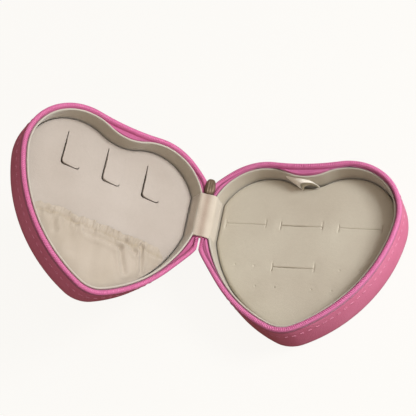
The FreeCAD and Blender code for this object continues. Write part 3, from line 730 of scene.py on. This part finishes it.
def liner(name, low, high, top_is_low):
    """A velvet-covered liner wall between two heights, rounded along the edge at the rim."""
    rim_edge, far = (low, high) if top_is_low else (high, low)
    into = 1 if top_is_low else -1
    profile = [
        (liner_outer, far), (liner_outer, rim_edge + into * 1.2 * mm),
        (liner_outer + 0.08 * mm, rim_edge + into * 0.45 * mm),
        (liner_outer + 0.32 * mm, rim_edge + into * 0.1 * mm),
        (liner_outer + 0.65 * mm, rim_edge), (liner_inner - 0.2 * mm, rim_edge + into * 0.15 * mm),
        (liner_inner + 0.02 * mm, rim_edge + into * 0.6 * mm),
        (liner_inner + 0.03 * mm, rim_edge + into * 1.6 * mm),
        (liner_inner, rim_edge + into * 4 * mm), (liner_inner, rim_edge + into * 8 * mm), (liner_inner, far),
    ]
    # painted highlight along the rounded top edge
    painted_light = [0, 0, 0.25, 0.6, 0.85, 0.8, 0.4, 0.1, 0, 0, 0]
    rows = [row(inset, height, liner_cleft) for inset, height in profile]
    for ring in rows[1:-1]:
        for point in ring:
            sway = noise.noise(Vector(point) * 45) * 0.22 * mm
            point[2] += sway
    if not top_is_low:
        rows, painted_light = rows[::-1], painted_light[::-1]
    return swept(name, rows, velvet, loop=True, painted_light=painted_light)


liner_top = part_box("base_wall_liner")[1][2]
base_liner = liner("base_liner", liner_low, liner_top, False)
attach(base_liner, "base")
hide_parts("base_wall_liner")
lid_ceiling = rim + 17 * mm
lid_liner = opened(liner("lid_liner", rim + 1.0 * mm, lid_ceiling, True))
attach(lid_liner, "lid")
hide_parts("lid_wall_liner")
coat(velvet, "base_floor_lining")

# ---------------------------------------------------------------- ring tray
# A lift-out cushion of cream velvet over foam. Four ring slits with a short tick at each end are cut
# into it, and eight small holes for earrings, and the velvet sinks a little round every cut.
# The olive brown is painted shade, inside the sunk cuts and holes and down the lower part of the cushion's side.
cream = finish(
    "cream_velvet", (199, 193, 177), (189, 181, 165), 0.9, 28,
    [("noise", 2400, 0.6), ("noise", 600, 0.4)], 0.00018, painted_light=(132, 118, 94),
    Sheen_Weight=0.5, Sheen_Roughness=0.4,
)
tray_low, tray_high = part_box("ring_tray_cushion")
tray_inset = liner_inner + 0.3 * mm
slit_half, tick_half = 12.75 * mm, 2.25 * mm
upper_row, middle_row, lower_row = 17 * mm, -10 * mm, -23 * mm
skew = -0.038
cuts = []
for x, y in ((-36 * mm, upper_row), (-1 * mm, upper_row), (34.5 * mm, upper_row), (-2 * mm, middle_row)):
    y += x * skew
    left, right = x - slit_half, x + slit_half
    cuts.append((left, y - slit_half * skew, right, y + slit_half * skew))
    cuts += [(end, y - tick_half, end, y + tick_half) for end in (left, right)]
hole_places = [(side * 32 * mm + off, middle_row) for side in (-1, 1) for off in (-6 * mm, 6 * mm)]
hole_places += [(side * 17 * mm + off, lower_row) for side in (-1, 1) for off in (-6 * mm, 6 * mm)]
hole_places = [(x, y + x * skew) for x, y in hole_places]


def to_segments(points, segments):
    """How far each point is from the nearest of some straight cuts."""
    best = np.full(len(points), 1e9)
    for x0, y0, x1, y1 in segments:
        start, along = np.array([x0, y0]), np.array([x1 - x0, y1 - y0])
        share = np.clip(((points - start) @ along) / max(along @ along, 1e-12), 0, 1)
        best = np.minimum(best, np.linalg.norm(points - start - share[:, None] * along, axis=1))
    return best


fine_points = []
for x0, y0, x1, y1 in cuts:
    length = math.hypot(x1 - x0, y1 - y0)
    ux, uy = (x1 - x0) / length, (y1 - y0) / length
    for step in np.arange(-0.6 * mm, length + 0.6 * mm, 0.55 * mm):
        for off in (-1.3, -0.7, -0.32, 0, 0.32, 0.7, 1.3):
            fine_points.append((x0 + ux * step - uy * off * mm, y0 + uy * step + ux * off * mm))
for x, y in hole_places:
    fine_points.append((x, y))
    for radius, count in ((0.3, 6), (0.6, 8), (1.0, 12), (1.6, 14)):
        turns = np.arange(count) * 2 * math.pi / count
        fine_points += [(x + radius * mm * math.cos(t), y + radius * mm * math.sin(t)) for t in turns]
fine_points = np.unique(np.round(np.array(fine_points), 5), axis=0)

tray_edge = 3.0 * mm
outline = heart(tray_inset + tray_edge, tray_cleft)
flat, faces = filled(outline, 0.0017, extra=fine_points)
from_edge = distance(flat, outline)
to_cut, to_hole = to_segments(flat, cuts), to_segments(flat, [(x, y, x, y) for x, y in hole_places])
near = np.minimum(to_cut, to_hole - 0.1 * mm)
how_open = 0.28 + 0.5 * np.exp(-(((flat[:, 0] + 6 * mm) / (9 * mm)) ** 2))
sunk = np.clip((0.36 * mm - near) / (0.36 * mm), 0, 1) ** 1.5 * how_open
lip = np.exp(-(((near - 0.85 * mm) / (0.45 * mm)) ** 2))
sway = np.array([noise.noise(Vector((p[0], p[1], 0)) * 38) for p in flat])
height = (
    tray_high[2] + 0.35 * mm * (1 - np.exp(-from_edge / (6 * mm)))
    + sway * 0.35 * mm * np.clip(from_edge / (5 * mm), 0, 1)
    - 0.4 * mm * np.exp(-((near / (2.2 * mm)) ** 2)) * np.clip(from_edge / (2 * mm), 0, 1) - 1.0 * mm * sunk
    + 0.2 * mm * lip
)
# painted shade inside the sunk cuts and holes
top = mesh_object("tray_top", np.c_[flat, height], faces, cream, painted_light=np.clip(sunk * 0.8, 0, 1))
edge_profile = [
    (tray_edge, 0.0), (2.0 * mm, 0.12 * mm), (1.1 * mm, 0.5 * mm), (0.45 * mm, 1.15 * mm),
    (0.1 * mm, 2.0 * mm), (0.05 * mm, 3.2 * mm), (0.25 * mm, 4.4 * mm), (0.8 * mm, 5.0 * mm),
]
rows = [row(tray_inset + inset, tray_high[2] - drop, tray_cleft) for inset, drop in edge_profile]
# painted shade down the lower part of the side
edge = swept("tray_edge", rows, cream, painted_light=[0, 0, 0, 0, 0.1, 0.3, 0.5, 0.5])
flat, faces = filled(heart(tray_inset + 0.8 * mm, tray_cleft), 0.006)
under = turned_over(mesh_object("tray_under", np.c_[flat, np.full(len(flat), tray_low[2])], faces, cream))
ring_cushion = joined("ring_cushion", [top, edge, under], cream)
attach(ring_cushion, "ring_tray")
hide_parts("ring_tray_cushion")

# ---------------------------------------------------------------- ribbon loop
# A loop of ten millimetre satin ribbon is glued under the tray at the cleft. It comes up beside the
# cushion, folds over to the right in two layers, and its open end faces the tip.
# The olive colour is painted shade, on the loop's inner layer.
satin = finish(
    "satin_ribbon", (252, 248, 238), (242, 236, 220), 0.34, 60,
    [("rib", 2300, 0.8), ("noise", 3000, 0.2)], 0.00003, painted_light=(150, 140, 84),
    Sheen_Weight=0.5, Specular_IOR_Level=0.7,
)
tray_top_z = tray_high[2]
outer_path = [  # right and up, in mm: over the back of the loop
    (0.6, 0.2), (0.0, 2.2), (-0.1, 4.6), (0.6, 6.6), (2.0, 7.9),
    (4.2, 8.4), (6.8, 7.9), (9.0, 6.4), (10.5, 4.0), (11.1, 1.2),
]
inner_path = [(10.4, 1.4), (9.6, 3.4), (8.2, 5.2), (6.4, 5.6), (4.4, 4.6), (2.6, 3.6), (1.6, 2.2), (1.2, 0.4)]
loop_path = np.array(outer_path + inner_path) * mm
smooth_path = []
count = len(loop_path)
for i in range(count):
    p0, p1, p2, p3 = (loop_path[(i + k) % count] for k in (-1, 0, 1, 2))
    for t in np.arange(0, 1, 0.25):
        smooth_path.append(
            0.5 * (2 * p1 + (p2 - p0) * t
                   + (2 * p0 - 5 * p1 + 4 * p2 - p3) * t**2 + (3 * p1 - 3 * p2 + p3 - p0) * t**3)
        )
smooth_path = np.array(smooth_path)
front = Vector((-4.3 * mm, 41.2 * mm, tray_top_z))
run_back = Vector((-10.6 * mm, 7.6 * mm, 1.0 * mm))
across = Vector((0.97, 0.1, 0)).normalized()
points, faces, along_u, along_v, painted_light = [], [], [], [], []
slices = 9
for k in range(slices):
    share = k / (slices - 1)
    start = front + run_back * share
    for index, (right, up) in enumerate(smooth_path):
        squeeze = 1 - 0.12 * share
        points.append(start + across * right * squeeze + Vector((0, 0, up * (1 - 0.16 * share))))
        along_u.append(index * 0.0006)
        along_v.append(share * 0.012)
        # painted shade on the inner layer, the points after the outer path
        painted_light.append(0.0 if index < 40 else 0.6)
count = len(smooth_path)
for k in range(slices - 1):
    for i in range(count):
        j = (i + 1) % count
        faces.append((k * count + i, k * count + j, (k + 1) * count + j, (k + 1) * count + i))
ribbon = mesh_object("ribbon_pull", points, faces, satin, along_u, along_v, painted_light)
thick = ribbon.modifiers.new("thickness", "SOLIDIFY")
thick.thickness, thick.offset = 0.35 * mm, 0
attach(ribbon, "ring_tray")
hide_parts("ribbon_loop")

# ---------------------------------------------------------------- necklace panel and tabs
# A velvet-covered board closes the lid. Three tongues are cut into it on three sides, so a chain can be
# hooked behind them; each is joined to the panel along its top and bends there.
# The brown is painted shade, faint along the rounded edge of the panel.
panel_velvet = finish(
    "panel_velvet", (188, 179, 171), (178, 168, 159), 0.92, 30,
    [("noise", 2400, 0.6), ("noise", 600, 0.4)], 0.00016, painted_light=(98, 84, 62),
    Sheen_Weight=0.5, Sheen_Roughness=0.4,
)
panel_inset = liner_inner + 0.3 * mm
panel_face = rim + 12.5 * mm
panel_back = panel_face + 2 * mm
tab_half, tab_length, tab_top, tab_gap, tab_corner = 5.75 * mm, 21 * mm, 40 * mm, 0.45 * mm, 2.2 * mm
tab_places = (26.5 * mm, 0, -26.5 * mm)


def tongue(x, grow, corner):
    """A tongue's outline, square at the top and rounded at the free end, grown on three sides."""
    half, low = tab_half + grow, tab_top - tab_length - grow
    points = [(x + half, y) for y in np.linspace(tab_top, low + corner, 14)]
    for turn in np.linspace(0, math.pi / 2, 7)[1:]:
        points.append((x + half - corner + corner * math.cos(turn), low + corner - corner * math.sin(turn)))
    points += [(x + w, low) for w in np.linspace(half - corner, -half + corner, 6)[1:-1]]
    for turn in np.linspace(math.pi / 2, math.pi, 7):
        points.append((x - half + corner + corner * math.cos(turn), low + corner - corner * math.sin(turn)))
    points += [(x - half, y) for y in np.linspace(low + corner, tab_top, 14)[1:]]
    points += [(x + w, tab_top) for w in np.linspace(-half, half, 8)[1:-1]]
    return np.array(points)[::-1]


outline = heart(panel_inset + 0.9 * mm, liner_cleft)
windows = [tongue(x, tab_gap, tab_corner) for x in tab_places]
for x, window in zip(tab_places, windows):
    window[:, 0] = np.maximum(window[:, 0], x - tab_half - 0.04 * mm)
flat, faces = filled(outline, 0.0021, windows=windows)
open_sides = [window[window[:, 0] > x - tab_half + 1.2 * mm] for x, window in zip(tab_places, windows)]
rolled = np.min([distance(flat, side) for side in open_sides], axis=0)
near_top = np.clip((tab_top - flat[:, 1]) / (2.5 * mm), 0, 1)
sway = np.array([noise.noise(Vector((p[0], p[1], 3)) * 30) for p in flat])
lower = 0.25 * mm * np.exp(-((rolled / (0.9 * mm)) ** 2)) * near_top
from_edge = distance(flat, outline)
level = (
    panel_face - 0.2 * mm * np.clip(from_edge / (8 * mm), 0, 1)
    - sway * 0.2 * mm * np.clip(from_edge / (4 * mm), 0, 1) + lower
)
front_face = turned_over(mesh_object("panel_front", np.c_[flat, level], faces, panel_velvet))
back_face = mesh_object("panel_rear", np.c_[flat, np.full(len(flat), panel_back)], faces, panel_velvet)
edge_rows = [
    row(panel_inset + inset, panel_face + drop, liner_cleft)
    for inset, drop in (
        (0.9 * mm, 2 * mm), (0.1 * mm, 1.8 * mm), (0, 1.0 * mm), (0.25 * mm, 0.35 * mm), (0.9 * mm, 0.0)
    )
]
# painted shade, faint along the rounded edge
edge = swept("panel_edge", edge_rows, panel_velvet, painted_light=[0, 0.1, 0.1, 0.05, 0])
panel = opened(joined("necklace_board", [front_face, back_face, edge], panel_velvet))
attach(panel, "lid")
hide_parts("necklace_panel")


def faced_out(piece):
    """Makes the faces of a closed piece point outwards."""
    body = bmesh.new()
    body.from_mesh(piece.data)
    bmesh.ops.recalc_face_normals(body, faces=body.faces)
    body.to_mesh(piece.data)
    body.free()


for number, x in enumerate(tab_places, start=1):
    outline = tongue(x, -0.02 * mm, tab_corner)
    flat, faces = filled(outline, 0.0014)
    down = (tab_top - flat[:, 1]) / tab_length
    across_tab = np.clip((flat[:, 0] - (x - tab_half)) / (2 * tab_half), 0, 1)
    curl = 2.0 * mm * np.clip(down * 2.4, 0, 1) ** 1.2 * (0.1 + 0.9 * across_tab ** 1.4)
    free_edge = outline[(outline[:, 0] > x - tab_half + 1.2 * mm) & (outline[:, 1] < tab_top - 1 * mm)]
    edge_near = np.exp(-((distance(flat, free_edge) / (0.7 * mm)) ** 2)) * np.clip(down * 8, 0, 1)
    sway = np.array([noise.noise(Vector((p[0], p[1], 3)) * 30) for p in flat])
    tab_front = panel_face - 0.2 * mm - sway * 0.2 * mm - curl + 0.3 * mm * edge_near
    front_face = turned_over(mesh_object(f"tab_{number}_front", np.c_[flat, tab_front], faces, panel_velvet))
    tab_back = panel_back - 0.6 * mm - curl
    back_face = mesh_object(f"tab_{number}_rear", np.c_[flat, tab_back], faces, panel_velvet)
    count = len(outline)
    ring = np.r_[np.c_[flat[:count], tab_front[:count]], np.c_[flat[:count], tab_back[:count]]]
    sides = [(i, (i + 1) % count, count + (i + 1) % count, count + i) for i in range(count)]
    edge = mesh_object(f"tab_{number}_edge", ring, sides, panel_velvet)
    tab = opened(joined(f"necklace_tongue_{number}", [front_face, back_face, edge], panel_velvet))
    faced_out(tab)
    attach(tab, f"necklace_tab_{number}")
    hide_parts(f"necklace_tab_{number}")

# ---------------------------------------------------------------- gathered pocket
# A pocket of thin cream cloth covers the tip of the panel. Its hem is drawn up on an elastic, so the
# cloth stands in small uneven gathers that run out into a few long soft pleats towards the tip.
# The darker beige is painted shade in the creases of the gathers.
pocket_cloth = finish(
    "pocket_cloth", (190, 179, 166), (179, 167, 152), 0.82, 40,
    [("twill", 1500, 0.5), ("noise", 1800, 0.5)], 0.00008, painted_light=(146, 130, 100),
    Sheen_Weight=0.35, Sheen_Roughness=0.5,
)
pocket_inset = panel_inset + 0.6 * mm
hem_y, hem_half = -8.5 * mm, 37.5 * mm
lower_outline = heart(pocket_inset, liner_cleft)
lower_outline = lower_outline[lower_outline[:, 1] < hem_y + 2 * mm]
tip_y = lower_outline[:, 1].min()


def half_reach(y):
    """How wide the pocket is at a level, from the middle to the panel's edge."""
    right = lower_outline[lower_outline[:, 0] >= 0]
    order = np.argsort(right[:, 1])
    return float(np.interp(y, right[order, 1], right[order, 0]))


across_count, down_count = 281, 84
long_folds = [  # a soft crease from one point to another on the panel, how wide and how deep, in mm
    ((8.2, -17.0), (-14.3, -17.8), 1.5, 0.9), ((-14.3, -17.8), (-20.5, -31.0), 1.6, 1.2),
    ((-17.1, -12.5), (-25.1, -17.5), 1.3, 1.0), ((-27.5, -12.5), (-31.1, -27.5), 1.2, 1.4),
    ((20.0, -13.0), (14.0, -30.0), 3.0, 0.7), ((31.0, -12.5), (26.0, -22.0), 1.8, 0.8),
    ((3.0, -14.0), (0.0, -40.0), 3.5, 0.6),
]
points, faces, along_u, along_v, painted_light = [], [], [], [], []
for j in range(down_count):
    t = j / (down_count - 1)
    for i in range(across_count):
        s = -1 + 2 * i / (across_count - 1)
        y = hem_y + (tip_y + 0.15 * mm - hem_y) * t
        pull = max(0.0, 1 - t / 0.2) ** 1.5
        x = s * (half_reach(y) * (1 - pull) + hem_half * pull)
        u, v = x / mm, y / mm
        edge_share = 1 - abs(s) ** 8
        near_tip = math.sqrt(max(0.0, 1 - t ** 3))
        puff = 2.2 * mm * (1 - abs(s) ** 4) * near_tip * min(1, 0.35 + t / 0.3)
        crinkle = noise.noise(Vector((u * 0.42, t * 5, 4))) * 1.2
        crinkle += noise.noise(Vector((u * 0.95, t * 9, 9))) * 0.8
        fade = math.exp(-((t / 0.2) ** 2))
        ridge = crinkle * fade * 0.9 + noise.noise(Vector((u * 0.11, v * 0.09, 15))) * 0.9
        ridge += noise.noise(Vector((u * 0.3, v * 0.1, 21))) * 0.55 * math.exp(-t * 3)
        for (x0, y0), (x1, y1), width, deep in long_folds:
            away = float(to_segments(np.array([[u, v]]), [(x0, y0, x1, y1)])[0])
            ridge -= deep * math.exp(-((away / width) ** 2))
            ridge += 0.5 * deep * math.exp(-(((away - 1.9 * width) / width) ** 2))
        head, neck = math.exp(-((t / 0.05) ** 2)), math.exp(-(((t - 0.115) / 0.03) ** 2))
        lift = puff + (ridge * edge_share * near_tip + 0.7 * head - 0.8 * neck) * mm
        wave = noise.noise(Vector((u * 0.1, 7, 2))) * 1.6 + noise.noise(Vector((u * 0.38, 2, t * 3))) * 1.1
        wavy_y = y + wave * mm * math.exp(-((t / 0.16) ** 2))
        points.append((x, wavy_y, panel_face - 0.25 * mm - max(lift, 0.2 * mm)))
        along_u.append(x)
        along_v.append(y)
        # painted shade in the crease under the hem and in the hollows of the gathers
        painted_light.append(min(1.0, 0.22 * neck + max(0.0, -crinkle) * 0.28 * fade))
for j in range(down_count - 1):
    for i in range(across_count - 1):
        a = j * across_count + i
        faces.append((a, a + 1, a + across_count + 1, a + across_count))
pocket = opened(mesh_object("gathered_pocket", points, faces, pocket_cloth, along_u, along_v, painted_light))
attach(pocket, "lid")
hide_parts("pocket_cloth", "pocket_elastic")

# ---------------------------------------------------------------- hinge: spine outside, lining inside
# A strip of the leatherette bridges both walls outside, and a wider strip of cream cloth is glued over
# both liners inside. Neither has a pin: the fold between the two halves is the hinge.
# The darker pinkish beige is painted shade down the middle of the fold.
lining = finish(
    "hinge_lining", (208, 199, 184), (198, 187, 171), 0.85, 40,
    [("twill", 1300, 0.5), ("noise", 1500, 0.5)], 0.0001, painted_light=(160, 138, 124),
    Sheen_Weight=0.35, Sheen_Roughness=0.5,
)
strip_half = 14.3 * mm
strip_middle = fold_line.y - 1.4 * mm
across_strip = 61


def lid_side(inwards, height):
    """Where a point of the lid half, given as on the base, lies on the open lid."""
    return (
        inwards * math.cos(opening) + height * math.sin(opening),
        inwards * math.sin(opening) - height * math.cos(opening),
    )


def strip_piece(
    name, base_half, lid_half, half, material, bow=0.0, thickness=0.5 * mm, fold_shade_spread=None
):
    """A strip swept along the hinge: its section goes down the base half, over the fold and up the lid."""
    section = [(i, h) for i, h in base_half] + [lid_side(i, h) for i, h in reversed(lid_half)]
    section = np.array(section)
    steps = np.r_[0, np.cumsum(np.hypot(*np.diff(section, axis=0).T))]
    fine = np.linspace(0, steps[-1], across_strip)
    section = np.c_[np.interp(fine, steps, section[:, 0]), np.interp(fine, steps, section[:, 1])]
    for _ in range(6):
        section[1:-1] = (section[:-2] + 2 * section[1:-1] + section[2:]) / 4
    points, faces, along_u, along_v, painted_light = [], [], [], [], []
    columns = 45
    for j in range(columns):
        share = -1 + 2 * j / (columns - 1)
        for i, (inwards, height) in enumerate(section):
            ripple = noise.noise(Vector((share * 1.5, i * 0.09, 6))) * bow
            narrow = 1 - 0.02 * math.sin(math.pi * i / (across_strip - 1))
            y = strip_middle + share * half * narrow
            points.append((fold_line.x + inwards + ripple * 0.7, y, fold_line.z + height + ripple))
            along_u.append(y)
            along_v.append(fine[i])
            from_fold = i - across_strip // 2
            # painted shade down the middle of the fold, spread over so many section points
            painted_light.append(0 if fold_shade_spread is None else math.exp(-((from_fold / fold_shade_spread) ** 2)) * 0.7)
    for j in range(columns - 1):
        for i in range(across_strip - 1):
            a = j * across_strip + i
            faces.append((a, a + across_strip, a + across_strip + 1, a + 1))
    piece = mesh_object(name, points, faces, material, along_u, along_v, painted_light)
    body = bmesh.new()
    body.from_mesh(piece.data)
    bmesh.ops.solidify(body, geom=body.faces[:], thickness=thickness)
    bmesh.ops.recalc_face_normals(body, faces=body.faces)
    body.to_mesh(piece.data)
    body.free()
    piece.data.shade_smooth()
    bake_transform(piece)
    return piece


spine_half_section = [
    (0.9 * mm, -6.5 * mm), (0.65 * mm, -4.5 * mm), (0.7 * mm, -2.2 * mm), (0.8 * mm, -0.8 * mm),
]
spine = strip_piece(
    "hinge_spine", spine_half_section, spine_half_section, strip_half + 0.4 * mm, leather,
    bow=0.1 * mm, thickness=0.6 * mm,
)
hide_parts("hinge_spine_cover")
base_half_section = [
    (4.95 * mm, -11.0 * mm), (4.95 * mm, -4.2 * mm), (4.75 * mm, -1.9 * mm), (3.2 * mm, -0.3 * mm),
    (1.7 * mm, 0.5 * mm),
]
lid_half_section = [
    (4.95 * mm, -11.0 * mm), (4.95 * mm, -2.6 * mm), (4.6 * mm, -0.6 * mm), (3.2 * mm, 0.3 * mm),
    (1.7 * mm, 0.6 * mm),
]
hinge_lining = strip_piece(
    "hinge_lining", base_half_section, lid_half_section, strip_half, lining,
    bow=0.45 * mm, fold_shade_spread=5.0,
)
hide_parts("hinge_lining_strip")

# ---------------------------------------------------------------- slider and pull tab
# The slider is a dark nickel casting with a ribbed, rounded back, parked at the end of the teeth beside
# the hinge. Its long pull tab hangs behind the case.
metal = finish(
    "dark_nickel", (124, 106, 88), (96, 80, 64), 0.48, 220, [("noise", 2600, 1.0)], 0.00005,
    Metallic=0.55,
)
coat(metal, "zipper_pull_tab")
into_case = Vector((math.cos(opening / 2), 0, math.sin(opening / 2)))
across_case = Vector((math.sin(opening / 2), 0, -math.cos(opening / 2)))
cast = np.array([v.co for v in frame["nodes"]["zipper_slider"].data.vertices])
axes = np.array([across_case, (0, 1, 0), into_case])
local = cast @ axes.T
low, high = local.min(0), local.max(0)
middle, half_size = (low + high) / 2, (high - low) / 2
dome_deep, dome_drop, dome_longer, dome_shift = 2.5 * mm, 2.6 * mm, 1.2, 0.6 * mm
middle[2], half_size[2] = high[2] - dome_drop, dome_deep
middle[1] -= dome_shift
half_size[1] *= dome_longer
around_count, up_count = 64, 40


def rounded(value, power):
    return math.copysign(abs(value) ** power, value)


points, faces = [], []
for j in range(up_count + 1):
    rise = -math.pi / 2 + math.pi * j / up_count
    for i in range(around_count):
        turn = 2 * math.pi * i / around_count
        level = rounded(math.cos(rise), 0.45)
        p = np.array([
            level * rounded(math.cos(turn), 0.6), level * rounded(math.sin(turn), 0.75),
            rounded(math.sin(rise), 0.6),
        ])
        if p[2] > 0:
            p[2] *= 1 - 0.16 * p[1] ** 2
            p[2] += 0.04 * math.cos(p[0] * 13) * (1 - p[1] ** 4) * min(1, p[2] * 2)
        p[0] *= 1 - 0.22 * max(0.0, p[1]) ** 2
        points.append((middle + p * half_size) @ axes)
for j in range(up_count):
    for i in range(around_count):
        here, above, k = j * around_count, (j + 1) * around_count, (i + 1) % around_count
        faces.append((here + i, above + i, above + k, here + k))
dome = mesh_object("slider_body_dome", points, faces, metal)
slider = joined("slider_body", [dome], metal)
faced_out(slider)
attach(slider, "zipper_slider")
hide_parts("zipper_slider")
